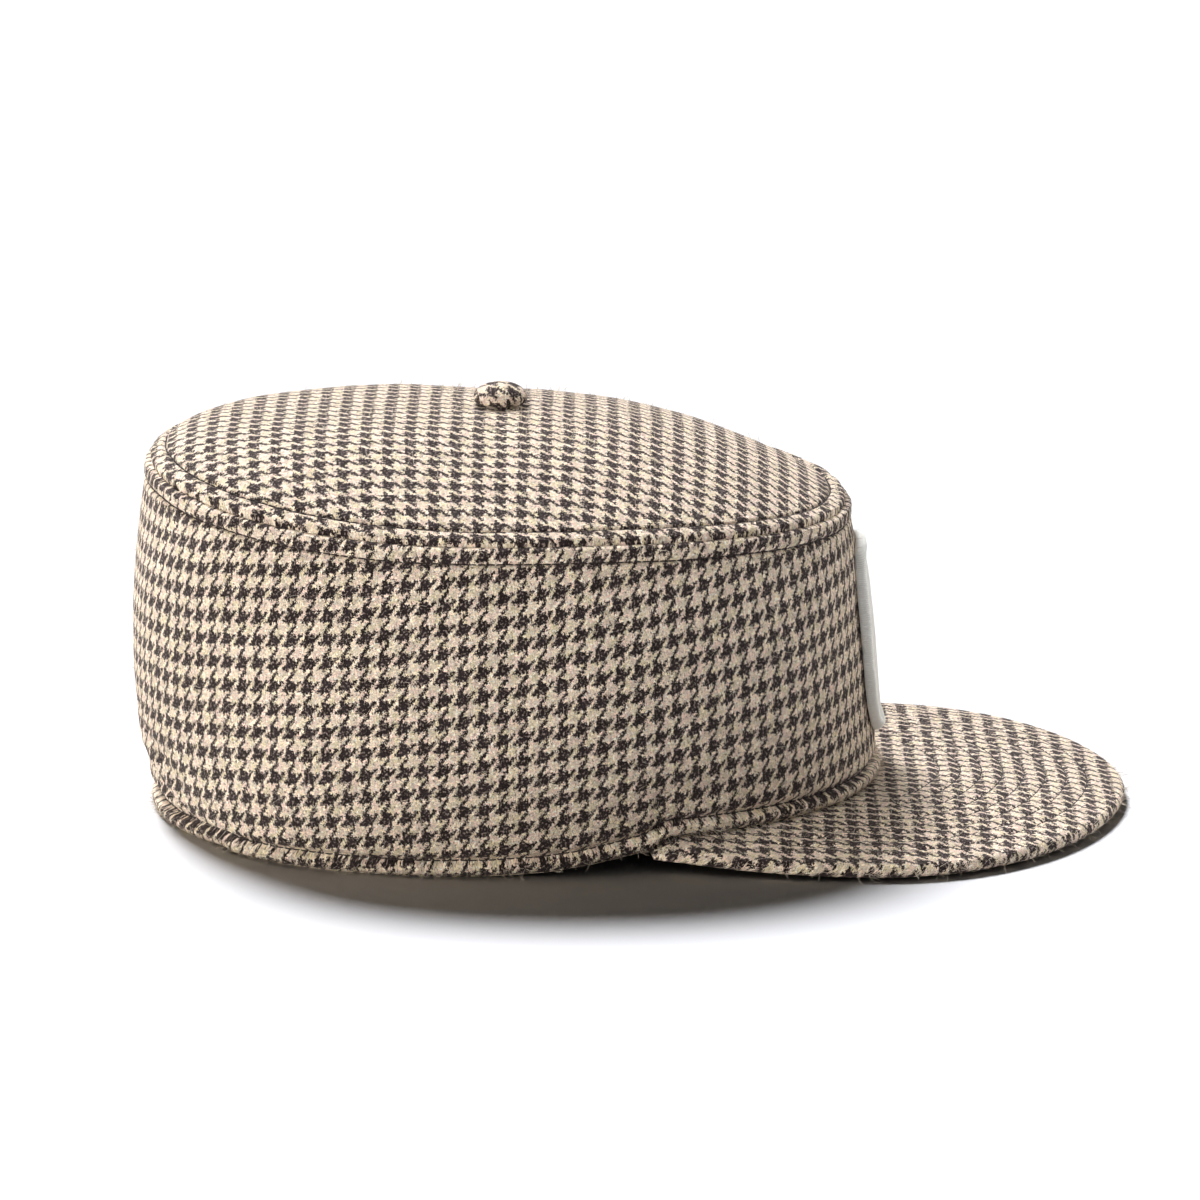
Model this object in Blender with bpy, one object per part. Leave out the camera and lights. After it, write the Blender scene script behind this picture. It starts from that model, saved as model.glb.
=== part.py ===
"""A pillbox cap of houndstooth wool: a domed top, a tall side, a short peak, a button and a patch.

Metres, +Z up, +X towards the peak. The cap stands on its hem at z = 0, and the origin is the middle
of its floor plan.
"""

import math

import bmesh
import bpy
from mathutils import Vector

# Crown, measured from the upright axis through the button
CROWN_BACK = 0.1025  # to the fullest part of the rear wall
CROWN_FRONT = 0.1055  # to the front of the hem
CROWN_HALF_WIDTH = 0.088  # to the fullest part of either side
SEAM_HEIGHT_BACK = 0.0990  # top seam above the table, at the back
SEAM_HEIGHT_SIDE = 0.0912
SEAM_HEIGHT_FRONT = 0.0865
TOP_HEIGHT = 0.1129  # dome above the table, under the button
DOME_BOWL = 0.30  # share of the dome's rise that is a plain bowl
DOME_POWER_BACK = 9.0  # for the rest, 2 is a bowl and more is flatter in the middle, steeper at the seam
DOME_POWER_SIDE = 2.6
DOME_POWER_FRONT = 2.15
FULLNESS = 0.012  # how far the oval stands out of an ellipse between its axes
EGG = 0.04  # how much wider the oval is behind its middle than before it
CLOTH = 0.0025  # cloth and interlining together
SEWN_GAP = 0.0003  # between pieces that are sewn together

# Hem, the turned edge that the cap stands on
HEM_RISE = 0.0090  # from the table to the seam over the peak
HEM_ROUND = 0.0006  # rounding of the turned edge

# Peak
PEAK_LENGTH = 0.0690  # from the front of the hem to the tip
PEAK_HALF_WIDTH = 0.0870
PEAK_NOSE = 0.0710  # from the widest place to the tip
PEAK_POINT = 1.10  # 1 is a plain half oval, more is more pointed
PEAK_THICKNESS = 0.0038
PEAK_LIFT = 0.0009  # underside of the edge above the table, at the widest place
PEAK_TIP_LIFT = 0.0012  # and at the tip
PEAK_CORNER_LIFT = 0.0030  # and at the corners
PEAK_CORNER_THICKNESS = 0.0015
PEAK_BOW = 0.0012  # swell of the upper face between seam and edge
PEAK_CORNER_STEP = 0.0006  # how far the corners stand out of the side
PEAK_CORNER = 18  # corners lie this many segments from the front middle

# Button
BUTTON_DIAMETER = 0.0150
BUTTON_HEIGHT = 0.0058

# Patch on the front
PATCH_WIDTH = 0.0400
PATCH_HEIGHT = 0.0540
PATCH_THICKNESS = 0.0030
PATCH_MIDDLE = 0.0480  # its middle above the table
PATCH_SQUARENESS = 3.4  # 2 is an oval, more is a rounded rectangle

# Fineness
SEGMENTS = 96  # round the crown
BUTTON_SEGMENTS = 24
PATCH_SEGMENTS = 32
PROBE = 0.004  # step to either side, in turn and in share, that gives the slope of a wall

AXIS_X = (CROWN_BACK - CROWN_FRONT - PEAK_LENGTH) / 2  # centres the whole cap on x = 0
TURN_STEP = math.tau / SEGMENTS

# Side wall, from hem to top seam. height is a share of the wall, the rest are shares of
# CROWN_BACK, CROWN_FRONT and CROWN_HALF_WIDTH.
#                height   back  front   side
SIDE_SECTIONS = ((0.00, 0.941, 1.000, 0.940),
                 (0.10, 0.965, 0.994, 0.962),
                 (0.28, 0.993, 0.981, 0.990),
                 (0.50, 1.000, 0.968, 1.000),
                 (0.72, 0.992, 0.950, 0.984),
                 (0.88, 0.974, 0.930, 0.944),
                 (1.00, 0.952, 0.913, 0.884))

# Lower edge of the side. front is the cosine of the turn from the peak, rise a share of HEM_RISE.
#             front  rise
HEM_EDGE = ((-1.00, 0.00),
            (-0.15, 0.00),
            (0.00, 0.04),
            (0.12, 0.12),
            (0.24, 0.32),
            (0.33, 0.53),
            (0.37, 0.62),
            (0.43, 1.00),
            (1.00, 1.00))

# Soft folds and dents of the side. turn is in degrees from the peak, counted towards the right-hand
# side, and height a share of the wall, both at the two ends of the fold. width is a share of
# SEAM_HEIGHT_SIDE and depth one of CLOTH.
#         turn   height  turn   height  width  depth
FOLDS = ((184.0, 0.22, 142.0, 0.00, 0.075, 1.00),
         (150.0, 0.62, 128.0, 0.50, 0.120, 0.30),
         (238.0, 0.34, 262.0, 0.26, 0.110, 0.25))

# Button and patch from the middle of the outer face to the middle of the back, as shares of half
# their width and of their thickness.
#                reach  rise
BUTTON_PROFILE = ((0.00, 1.00),
                  (0.35, 0.97),
                  (0.66, 0.86),
                  (0.88, 0.66),
                  (0.99, 0.40),
                  (0.97, 0.16),
                  (0.84, 0.00),
                  (0.00, 0.00))
PATCH_PROFILE = ((0.00, 1.00),
                 (0.35, 1.00),
                 (0.65, 1.00),
                 (0.90, 1.00),
                 (0.97, 0.86),
                 (1.00, 0.55),
                 (0.98, 0.12),
                 (0.94, 0.00),
                 (0.70, 0.00),
                 (0.47, 0.00),
                 (0.24, 0.00),
                 (0.00, 0.00))

WALL_OUTER_ROWS = (0.05, 0.12, 0.20, 0.29, 0.40, 0.52, 0.64, 0.75, 0.85, 0.93)
WALL_INNER_ROWS = (0.90, 0.78, 0.62, 0.45, 0.28, 0.12)
DOME_OUTER_ROWS = (0.16, 0.34, 0.50, 0.64, 0.76, 0.86, 0.94)
DOME_INNER_ROWS = (0.90, 0.76, 0.58, 0.36)
PEAK_ROWS = (0.0, 0.16, 0.36, 0.56, 0.76, 0.92)
PEAK_EDGE_STEPS = 4


def between(rows, key, column):
    """Value of a table's column at key, on a smooth curve through its rows."""
    last = len(rows) - 1
    place = 0
    while place < last - 1 and key > rows[place + 1][0]:
        place += 1

    def slope(row):
        low, high = max(row - 1, 0), min(row + 1, last)
        return (rows[high][column] - rows[low][column]) / (rows[high][0] - rows[low][0])

    left, right = rows[place], rows[place + 1]
    span = right[0] - left[0]
    share = min(max((key - left[0]) / span, 0.0), 1.0)
    ease = share * share * (3 - 2 * share)
    pull = span * (share * (1 - share) ** 2 * slope(place) - share**2 * (1 - share) * slope(place + 1))
    return left[column] + (right[column] - left[column]) * ease + pull


def straight(rows, key):
    """Second column of a two-column table at key, on straight lines between its rows."""
    for left, right in zip(rows, rows[1:]):
        if key <= right[0]:
            return left[1] + (right[1] - left[1]) * (key - left[0]) / (right[0] - left[0])
    return rows[-1][1]


def oval(turn, back, front, side):
    """Point of a full oval round the crown's axis. turn 0 is the front, and left is positive."""
    reach = front if math.cos(turn) > 0 else back
    along = (1 + FULLNESS) * math.cos(turn) - FULLNESS * math.cos(3 * turn)
    across = (1 + FULLNESS) * math.sin(turn) + FULLNESS * math.sin(3 * turn)
    return Vector((AXIS_X + reach * along, side * across * (1 - EGG * math.cos(turn)), 0.0))


def seam_height(turn):
    front = math.cos(turn)
    end = SEAM_HEIGHT_FRONT if front > 0 else SEAM_HEIGHT_BACK
    return SEAM_HEIGHT_SIDE + (end - SEAM_HEIGHT_SIDE) * front * front


def hem_height(turn):
    return HEM_RISE * straight(HEM_EDGE, math.cos(turn))


def fold_depth(turn, height):
    """How far the folds and dents press the wall in."""
    right_turn = (-math.degrees(turn)) % 360
    depth = 0.0
    for start_turn, start_height, end_turn, end_height, width, deep in FOLDS:
        degree = math.radians(1) * CROWN_BACK
        start = Vector((start_turn * degree, start_height * SEAM_HEIGHT_SIDE))
        end = Vector((end_turn * degree, end_height * SEAM_HEIGHT_SIDE))
        here = Vector((right_turn * degree, height * SEAM_HEIGHT_SIDE))
        line = end - start
        share = min(max((here - start).dot(line) / line.length_squared, 0.0), 1.0)
        away = (here - start - line * share).length / (width * SEAM_HEIGHT_SIDE)
        depth += deep * CLOTH * math.exp(-away * away)
    return depth


def wall(turn, height):
    """Point on the outside of the side wall. height runs from 0 at the hem to 1 at the top seam."""
    back = CROWN_BACK * between(SIDE_SECTIONS, height, 1)
    front = CROWN_FRONT * between(SIDE_SECTIONS, height, 2)
    side = CROWN_HALF_WIDTH * between(SIDE_SECTIONS, height, 3)
    point = oval(turn, back, front, side)
    point -= across_wall(turn) * fold_depth(turn, height)
    point.z = hem_height(turn) + (seam_height(turn) - hem_height(turn)) * height
    return point


def across_wall(turn):
    """Level direction straight out of the side wall."""
    small = TURN_STEP / 8
    ahead = oval(turn + small, CROWN_BACK, CROWN_FRONT, CROWN_HALF_WIDTH)
    behind = oval(turn - small, CROWN_BACK, CROWN_FRONT, CROWN_HALF_WIDTH)
    along = (ahead - behind).normalized()
    return Vector((along.y, -along.x, 0.0))


def dome(turn, reach):
    """Point on the outside of the top. reach runs from 0 under the button to 1 at the seam."""
    seam = wall(turn, 1.0)
    front = math.cos(turn)
    end = DOME_POWER_FRONT if front > 0 else DOME_POWER_BACK
    power = DOME_POWER_SIDE + (end - DOME_POWER_SIDE) * front * front
    point = Vector((AXIS_X, 0.0, TOP_HEIGHT)).lerp(seam, reach)
    fall = DOME_BOWL * reach**2 + (1 - DOME_BOWL) * reach**power
    point.z = TOP_HEIGHT - (TOP_HEIGHT - seam.z) * fall
    return point


def inside(surface, turn, place, depth):
    """Point at this depth straight under a surface of the crown, or over it where depth is negative."""
    here = surface(turn, place)
    round_it = surface(turn + PROBE, place) - surface(turn - PROBE, place)
    up_it = surface(turn, min(place + PROBE, 1.0)) - surface(turn, max(place - PROBE, 0.0))
    normal = round_it.cross(up_it).normalized()
    outwards = Vector((here.x - AXIS_X, here.y, here.z))
    return here - normal * depth * math.copysign(1.0, normal.dot(outwards))


def seam_corner(turn):
    """Inner corner where the cloth of the wall turns into the cloth of the top."""
    return wall(turn, 1.0) - across_wall(turn) * CLOTH - Vector((0, 0, CLOTH / 2))


def cloth_material(name, colour, roughness):
    material = bpy.data.materials.new(name)
    material.use_nodes = True
    surface = material.node_tree.nodes["Principled BSDF"]
    surface.inputs["Base Color"].default_value = (*colour, 1.0)
    surface.inputs["Roughness"].default_value = roughness
    surface.inputs["Metallic"].default_value = 0.0
    return material


def loft(name, material, around, rows, place, ends):
    """Closed solid: a ring of points is extruded through the rows, and place(row, index) sets each.

    ends is loop where the last row meets the first, poles where both end in one point, and caps where
    both are filled.
    """
    mesh = bmesh.new()
    number = mesh.verts.layers.int.new("number")
    ring = bmesh.ops.create_circle(mesh, segments=around, radius=1.0)["verts"]
    for index, vert in enumerate(ring):
        vert[number] = index
    edges = list(mesh.edges)
    if ends == "caps":
        bmesh.ops.edgeloop_fill(mesh, edges=edges)
    for row in rows:
        for vert in ring:
            vert.co = place(row, vert[number])
        if row is rows[-1] and ends != "loop":
            break
        grown = bmesh.ops.extrude_edge_only(mesh, edges=edges)["geom"]
        ring = [item for item in grown if isinstance(item, bmesh.types.BMVert)]
        edges = [item for item in grown if isinstance(item, bmesh.types.BMEdge)]
        on_ring = set(ring)
        edges = [edge for edge in edges if set(edge.verts) <= on_ring]
    if ends == "loop":
        for vert in ring:
            vert.co = place(rows[0], vert[number])
    if ends == "caps":
        bmesh.ops.edgeloop_fill(mesh, edges=edges)
    bmesh.ops.remove_doubles(mesh, verts=mesh.verts, dist=1e-6)
    bmesh.ops.recalc_face_normals(mesh, faces=mesh.faces)
    data = bpy.data.meshes.new(name)
    mesh.to_mesh(data)
    mesh.free()
    data.shade_smooth()
    data.set_sharp_from_angle(angle=math.radians(40))
    data.materials.append(material)
    part = bpy.data.objects.new(name, data)
    bpy.context.scene.collection.objects.link(part)
    return part


def side_band(material):
    """The side of the crown: hem edge, outer wall, the edge at the top seam, inner wall."""

    def hem(turn, depth, lift):
        point = wall(turn, 0.0) - across_wall(turn) * depth
        point.z += lift
        return point

    def top_edge(turn):
        return wall(turn, 1.0) - Vector((0, 0, SEWN_GAP))

    def top_corner(turn):
        return seam_corner(turn) - Vector((0, 0, SEWN_GAP))

    rows = [lambda turn: hem(turn, CLOTH - HEM_ROUND, 0.0)]
    rows += [lambda turn: hem(turn, HEM_ROUND, 0.0)]
    rows += [lambda turn: hem(turn, 0.0, HEM_ROUND)]
    rows += [lambda turn, height=height: wall(turn, height) for height in WALL_OUTER_ROWS]
    rows += [top_edge, top_corner]
    rows += [lambda turn, height=height: inside(wall, turn, height, CLOTH) for height in WALL_INNER_ROWS]
    rows += [lambda turn: hem(turn, CLOTH, HEM_ROUND)]
    return loft("side_band", material, SEGMENTS, rows, lambda row, index: row(index * TURN_STEP), "loop")


def top_panel(material):
    """The domed top, whose rim is mitred against the side."""

    def middle(depth):
        return lambda turn: Vector((AXIS_X, 0.0, TOP_HEIGHT - depth))

    rows = [middle(0.0)]
    rows += [lambda turn, reach=reach: dome(turn, reach) for reach in DOME_OUTER_ROWS]
    rows += [lambda turn: dome(turn, 1.0), seam_corner]
    rows += [lambda turn, reach=reach: inside(dome, turn, reach, CLOTH) for reach in DOME_INNER_ROWS]
    rows += [middle(CLOTH)]
    return loft("top_panel", material, SEGMENTS, rows, lambda row, index: row(index * TURN_STEP), "poles")


def peak_outline(share, corner):
    """Underside of the peak's edge on one side. share runs from 0 at the corner to 1 at the tip."""
    tip = AXIS_X + CROWN_FRONT + PEAK_LENGTH
    widest = tip - PEAK_NOSE
    side_length = widest - corner.x
    nose_length = (PEAK_NOSE + PEAK_HALF_WIDTH) * math.pi / 4
    side_share = side_length / (side_length + nose_length)
    if share < side_share:
        back = 1 - share / side_share
        across = PEAK_HALF_WIDTH + (corner.y - PEAK_HALF_WIDTH) * back**2
        lift = PEAK_LIFT + (PEAK_CORNER_LIFT - PEAK_LIFT) * back**2
        return Vector((widest - side_length * back, across, lift))
    angle = (1 - (share - side_share) / (1 - side_share)) * math.pi / 2
    across = PEAK_HALF_WIDTH * math.sin(angle) ** PEAK_POINT
    lift = PEAK_LIFT + (PEAK_TIP_LIFT - PEAK_LIFT) * math.cos(angle) ** 2
    return Vector((widest + PEAK_NOSE * math.cos(angle), across, lift))


def peak(material):
    """The stiff crescent under the front of the side, with a round wrapped edge."""
    corner_turn = PEAK_CORNER * TURN_STEP
    corner = wall(corner_turn, 0.0) + across_wall(corner_turn) * PEAK_CORNER_STEP

    def thickness(row):
        return PEAK_CORNER_THICKNESS if abs(row) == PEAK_CORNER else PEAK_THICKNESS

    def column(row):
        """Inner and outer end of the peak's upper face at this column."""
        turn = row * TURN_STEP
        root = wall(turn, 0.0) - across_wall(turn) * CLOTH
        root.z = hem_height(turn) - SEWN_GAP
        edge = peak_outline(1 - abs(row) / PEAK_CORNER, corner)
        edge.y = math.copysign(edge.y, row)
        edge.z += thickness(row)
        return root, edge

    def upper_face(row, share):
        root, edge = column(row)
        inset = (edge - root).normalized() * thickness(row) / 2
        point = root.lerp(edge - inset, share)
        full = (edge - root).length / (PEAK_LENGTH + CLOTH)
        point.z += PEAK_BOW * full * 4 * share * (1 - share)
        return point, inset

    shares = list(PEAK_ROWS) + [1.0]
    count = 2 * len(shares) + PEAK_EDGE_STEPS - 1

    def place(row, index):
        if index < len(shares):
            return upper_face(row, shares[index])[0]
        if index >= len(shares) + PEAK_EDGE_STEPS - 1:
            share = shares[count - 1 - index]
            return upper_face(row, share)[0] - Vector((0, 0, thickness(row)))
        point, inset = upper_face(row, 1.0)
        angle = math.pi * (index - len(shares) + 1) / PEAK_EDGE_STEPS
        drop = thickness(row) / 2 * (1 - math.cos(angle))
        return point + inset * math.sin(angle) - Vector((0, 0, drop))

    columns = list(range(-PEAK_CORNER, PEAK_CORNER + 1))
    return loft("peak", material, count, columns, place, "caps")


def top_button(material):
    """The covered button, a flattened dome that sits on the middle of the top."""

    def place(row, index):
        reach, rise = row
        turn = index * math.tau / BUTTON_SEGMENTS
        radius = reach * BUTTON_DIAMETER / 2
        height = TOP_HEIGHT + SEWN_GAP + rise * BUTTON_HEIGHT
        return Vector((AXIS_X + radius * math.cos(turn), radius * math.sin(turn), height))

    return loft("top_button", material, BUTTON_SEGMENTS, BUTTON_PROFILE, place, "poles")


def front_patch(material):
    """The felt patch, a rounded rectangle bent round the front wall."""

    def rounded(value):
        return math.copysign(abs(value) ** (2 / PATCH_SQUARENESS), value)

    def place(row, index):
        reach, rise = row
        angle = index * math.tau / PATCH_SEGMENTS
        across = reach * rounded(math.cos(angle)) * PATCH_WIDTH / 2
        up = reach * rounded(math.sin(angle)) * PATCH_HEIGHT / 2
        wall_height = SEAM_HEIGHT_FRONT - HEM_RISE
        turn = across / (CROWN_HALF_WIDTH * (1 + 4 * FULLNESS))
        height = (PATCH_MIDDLE + up - HEM_RISE) / wall_height
        return inside(wall, turn, height, -SEWN_GAP - rise * PATCH_THICKNESS)

    return loft("front_patch", material, PATCH_SEGMENTS, PATCH_PROFILE, place, "poles")


def main():
    for existing in list(bpy.data.objects):
        bpy.data.objects.remove(existing, do_unlink=True)
    top_panel(cloth_material("Top cloth", (0.36, 0.29, 0.22), 0.9))
    side_band(cloth_material("Side cloth", (0.30, 0.23, 0.18), 0.9))
    peak(cloth_material("Peak cloth", (0.33, 0.26, 0.20), 0.9))
    top_button(cloth_material("Button cloth", (0.36, 0.29, 0.22), 0.9))
    front_patch(cloth_material("Ivory felt", (0.78, 0.75, 0.68), 0.95))


main()
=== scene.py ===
"""The look of a houndstooth pillbox cap: its cloth, seams, stitching, covered button and felt patch.

Metres, +Z up, +X towards the peak, in the frame of the solids. The cap stands on its hem at z = 0.
"""

import math
import random

import bmesh
import bpy
import numpy as np
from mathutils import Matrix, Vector, noise


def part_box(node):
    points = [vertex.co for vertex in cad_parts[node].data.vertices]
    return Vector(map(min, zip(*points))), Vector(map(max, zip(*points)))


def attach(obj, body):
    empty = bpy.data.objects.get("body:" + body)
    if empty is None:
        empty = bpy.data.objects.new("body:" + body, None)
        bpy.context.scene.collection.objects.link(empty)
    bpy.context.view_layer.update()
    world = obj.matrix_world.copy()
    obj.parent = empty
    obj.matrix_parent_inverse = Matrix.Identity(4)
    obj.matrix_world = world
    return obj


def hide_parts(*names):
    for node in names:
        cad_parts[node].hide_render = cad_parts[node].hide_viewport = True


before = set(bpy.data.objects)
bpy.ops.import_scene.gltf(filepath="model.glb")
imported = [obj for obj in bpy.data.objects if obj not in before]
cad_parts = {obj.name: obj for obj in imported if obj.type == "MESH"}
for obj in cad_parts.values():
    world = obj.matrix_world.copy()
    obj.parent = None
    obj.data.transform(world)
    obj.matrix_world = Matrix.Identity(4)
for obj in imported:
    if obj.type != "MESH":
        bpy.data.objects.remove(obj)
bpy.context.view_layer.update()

MM = 0.001

# Sizes read from the frame
side_low, side_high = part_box("side_band")
top_low, top_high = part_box("top_panel")
peak_low, peak_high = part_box("peak")
button_low, button_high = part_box("top_button")
patch_low, patch_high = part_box("front_patch")
SEWN_GAP = 0.3 * MM  # between pieces that are sewn together
CLOTH = 2.5 * MM  # thickness of cloth and interlining together
AXIS_X = (button_low.x + button_high.x) / 2
CROWN_BACK = AXIS_X - side_low.x
CROWN_FRONT = side_high.x - AXIS_X
TOP_HEIGHT = top_high.z
SEAM_HEIGHT_BACK = side_high.z + SEWN_GAP
SEAM_HEIGHT_FRONT = top_low.z + CLOTH / 2
SEAM_HEIGHT_SIDE = SEAM_HEIGHT_BACK - 7.8 * MM
PEAK_TIP_X = peak_high.x
PEAK_HALF_WIDTH = peak_high.y
BUTTON_RADIUS = (button_high.x - button_low.x) / 2
BUTTON_HEIGHT = button_high.z - button_low.z
PATCH_MIDDLE = (patch_low.z + patch_high.z) / 2

# Form of the crown
FULLNESS = 0.012  # how far the oval stands out of an ellipse between its axes
EGG = 0.04  # how much wider the oval is behind its middle than before it
DOME_BOWL = 0.30
DOME_POWER_BACK = 9.0
DOME_POWER_SIDE = 2.6
DOME_POWER_FRONT = 2.15
HEM_RISE = 9.0 * MM

# Side wall, from hem to top seam. height is a share of the wall, the rest are shares of the
# crown's reach to the back, the front and the side.
#                height   back  front   side
SIDE_SECTIONS = ((0.00, 0.941, 1.000, 0.940),
                 (0.10, 0.965, 0.994, 0.962),
                 (0.28, 0.993, 0.981, 0.990),
                 (0.50, 1.000, 0.968, 1.000),
                 (0.72, 0.992, 0.950, 0.984),
                 (0.88, 0.974, 0.930, 0.944),
                 (1.00, 0.952, 0.913, 0.884))

# Lower edge of the side. front is the cosine of the turn from the peak, rise a share of HEM_RISE.
#             front  rise
HEM_EDGE = ((-1.00, 0.00),
            (-0.15, 0.00),
            (0.00, 0.04),
            (0.12, 0.12),
            (0.24, 0.32),
            (0.33, 0.53),
            (0.37, 0.62),
            (0.43, 1.00),
            (1.00, 1.00))

# Soft folds and dents of the side. turn is in degrees from the peak towards the right-hand side and
# height a share of the wall, both at the two ends of the fold. width is a share of the wall's
# height and depth one of the cloth's thickness.
#         turn   height  turn   height  width  depth
FOLDS = ((184.0, 0.22, 142.0, 0.00, 0.075, 1.00),
         (150.0, 0.62, 128.0, 0.50, 0.120, 0.30),
         (238.0, 0.34, 262.0, 0.26, 0.110, 0.25))

# Sharp creases of the cloth beside the fold at the rear. They run like the folds, but width and depth
# are in millimetres, and a depth below 0 is a ridge.
#           turn   height  turn   height  width  depth
CREASES = ((182.0, 0.21, 142.0, 0.00, 1.7, 1.8),
           (177.0, 0.27, 146.0, 0.08, 2.6, -1.2),
           (172.0, 0.33, 149.0, 0.16, 1.8, 1.1),
           (179.0, 0.09, 155.0, 0.02, 1.5, 1.4))

# Peak
PEAK_NOSE = 71.0 * MM  # from the widest place to the tip
PEAK_POINT = 1.10
PEAK_THICKNESS = 3.8 * MM
PEAK_LIFT = 0.9 * MM
PEAK_TIP_LIFT = 1.2 * MM
PEAK_CORNER_LIFT = 3.0 * MM
PEAK_CORNER_THICKNESS = 1.5 * MM
PEAK_BOW = 1.2 * MM
PEAK_CORNER_STEP = 0.6 * MM
PEAK_CORNER_TURN = math.radians(67.5)
PEAK_CORNER_REACH = 1 / 18  # share of each half, from its corner, where the peak thins
PEAK_LENGTH = PEAK_TIP_X - AXIS_X - CROWN_FRONT

# Patch
PATCH_WIDTH = 40.0 * MM
PATCH_HEIGHT = 54.0 * MM
PATCH_SQUARENESS = 3.4
FELT_THICKNESS = 1.9 * MM
SATIN_WIDTH = 3.6 * MM
SATIN_PROUD = 2.9 * MM
SATIN_THREAD = 0.60 * MM

CHECK_ROUND = 5.35 * MM  # round the side, and across the top
CHECK_UP = 6.38 * MM  # up the side
CHECK_TOP = 6.17 * MM  # along the top
CHECK_PEAK = 6.10 * MM  # along the peak
CHECK_CLIMB = 26.0 * MM  # how far the rows of checks climb the side from back to front
CHECK_LEVEL = 0.45  # share of the side's height where the checks round it are counted

# Seams and stitching
STITCH_PITCH = 2.5 * MM
THREAD = 0.42 * MM
HEM_LINE = 4.3 * MM  # stitch line above the hem's edge
TOP_LINE = 4.7 * MM  # stitch lines either side of the top seam
PEAK_FIRST_LINE = 10.5 * MM  # outermost row on the peak, from its edge
PEAK_LINE_PITCH = 5.9 * MM
PEAK_LINES = 8
STITCH_PLACES = 1600  # places round the crown that a stitch line runs through
HEM_SEED = 31.0  # seeds of the noise by which the stitch lines stray
SIDE_SEAM_SEED = 11.0
TOP_SEAM_SEED = 17.0

SEGMENTS = 640  # round the crown
FINE_BAND = 9 * MM  # from the hem or the top seam, where rows are close together
FINE_STEP = 0.16 * MM  # between the closest rows
HEM_ROLL = 1.1 * MM  # how far the rolled hem rises to its two sides
SEAM_HOLD = 12 * MM  # from the hem or the top seam, where the cloth is held flatter


def table_at(rows, key, column):
    """Values of a table's column at key, on a smooth curve through its rows."""
    keys = np.array([row[0] for row in rows])
    values = np.array([row[column] for row in rows])
    last = len(rows) - 1
    low = np.maximum(np.arange(last + 1) - 1, 0)
    high = np.minimum(np.arange(last + 1) + 1, last)
    slopes = (values[high] - values[low]) / (keys[high] - keys[low])
    left = np.clip(np.searchsorted(keys, key) - 1, 0, last - 1)
    span = keys[left + 1] - keys[left]
    share = np.clip((key - keys[left]) / span, 0.0, 1.0)
    ease = share**2 * (3 - 2 * share)
    pull = share * (1 - share) ** 2 * slopes[left] - share**2 * (1 - share) * slopes[left + 1]
    return values[left] + (values[left + 1] - values[left]) * ease + span * pull


def blend(start, end, value):
    """0 below start, 1 above end and a soft step between."""
    share = np.clip((value - start) / (end - start), 0.0, 1.0)
    return share * share * (3 - 2 * share)


def bell(away, width):
    return np.exp(-((away / width) ** 2))


def wander(points, size, seed=0.0):
    """Smooth noise from -1 to 1 at each point, with lumps of about this size."""
    flat = points.reshape(-1, 3) / size + seed
    values = [noise.noise(Vector(point)) for point in flat.tolist()]
    return np.array(values).reshape(points.shape[:-1])


def graded(length, lines, fine, coarse, spread):
    """Distances from 0 to length whose steps are fine near the lines and coarse away from them."""
    places = [0.0]
    while places[-1] < length:
        away = min(abs(places[-1] - line) for line in lines)
        places.append(places[-1] + fine + (coarse - fine) * min(away / spread, 1.0))
    return np.array(places[:-1]) * length / places[-2]


def stack(*columns):
    return np.stack(np.broadcast_arrays(*columns), axis=-1)


def unit(arrows):
    return arrows / np.maximum(np.linalg.norm(arrows, axis=-1, keepdims=True), 1e-12)


def distance_along(points):
    """Distance along each line of points from its first. The lines run down the rows."""
    steps = np.linalg.norm(np.diff(points, axis=0), axis=-1)
    return np.concatenate((np.zeros_like(steps[:1]), np.cumsum(steps, axis=0)))


# Crown


def oval(turn, back, front, side):
    """Points of a full oval round the crown's axis. turn 0 is the front, and left is positive."""
    reach = np.where(np.cos(turn) > 0, front, back)
    along = (1 + FULLNESS) * np.cos(turn) - FULLNESS * np.cos(3 * turn)
    across = (1 + FULLNESS) * np.sin(turn) + FULLNESS * np.sin(3 * turn)
    return stack(AXIS_X + reach * along, side * across * (1 - EGG * np.cos(turn)), 0.0 * turn)


def widest_share():
    """Reach of the oval to the side for a half width of 1."""
    turn = np.linspace(0.0, math.pi, 721)
    return oval(turn, 1.0, 1.0, 1.0)[:, 1].max()


CROWN_HALF_WIDTH = max(side_high.y, -side_low.y) / widest_share()


def seam_height(turn):
    front = np.cos(turn)
    end = np.where(front > 0, SEAM_HEIGHT_FRONT, SEAM_HEIGHT_BACK)
    return SEAM_HEIGHT_SIDE + (end - SEAM_HEIGHT_SIDE) * front**2


def hem_height(turn):
    fronts = [row[0] for row in HEM_EDGE]
    rises = [row[1] for row in HEM_EDGE]
    return HEM_RISE * np.interp(np.cos(turn), fronts, rises)


def beside(here, row):
    """Distance from places on the side to the line of a fold, and the share of its length reached."""
    degree = math.radians(1) * CROWN_BACK
    start = np.array((row[0] * degree, row[1] * SEAM_HEIGHT_SIDE))
    line = np.array((row[2] * degree, row[3] * SEAM_HEIGHT_SIDE)) - start
    share = np.clip((here - start) @ line / (line @ line), 0.0, 1.0)
    return np.linalg.norm(here - start - line * share[..., None], axis=-1), share


def unrolled(turn, height):
    """Places on the side laid flat: distance round it to the right from the front, and up."""
    return stack((-np.degrees(turn)) % 360 * math.radians(1) * CROWN_BACK, height * SEAM_HEIGHT_SIDE)


def fold_depth(turn, height):
    """How far the folds and dents press the side in."""
    here = unrolled(turn, height)
    depth = 0.0
    for row in FOLDS:
        away = beside(here, row)[0]
        depth = depth + row[5] * CLOTH * bell(away, row[4] * SEAM_HEIGHT_SIDE)
    return depth


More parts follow.
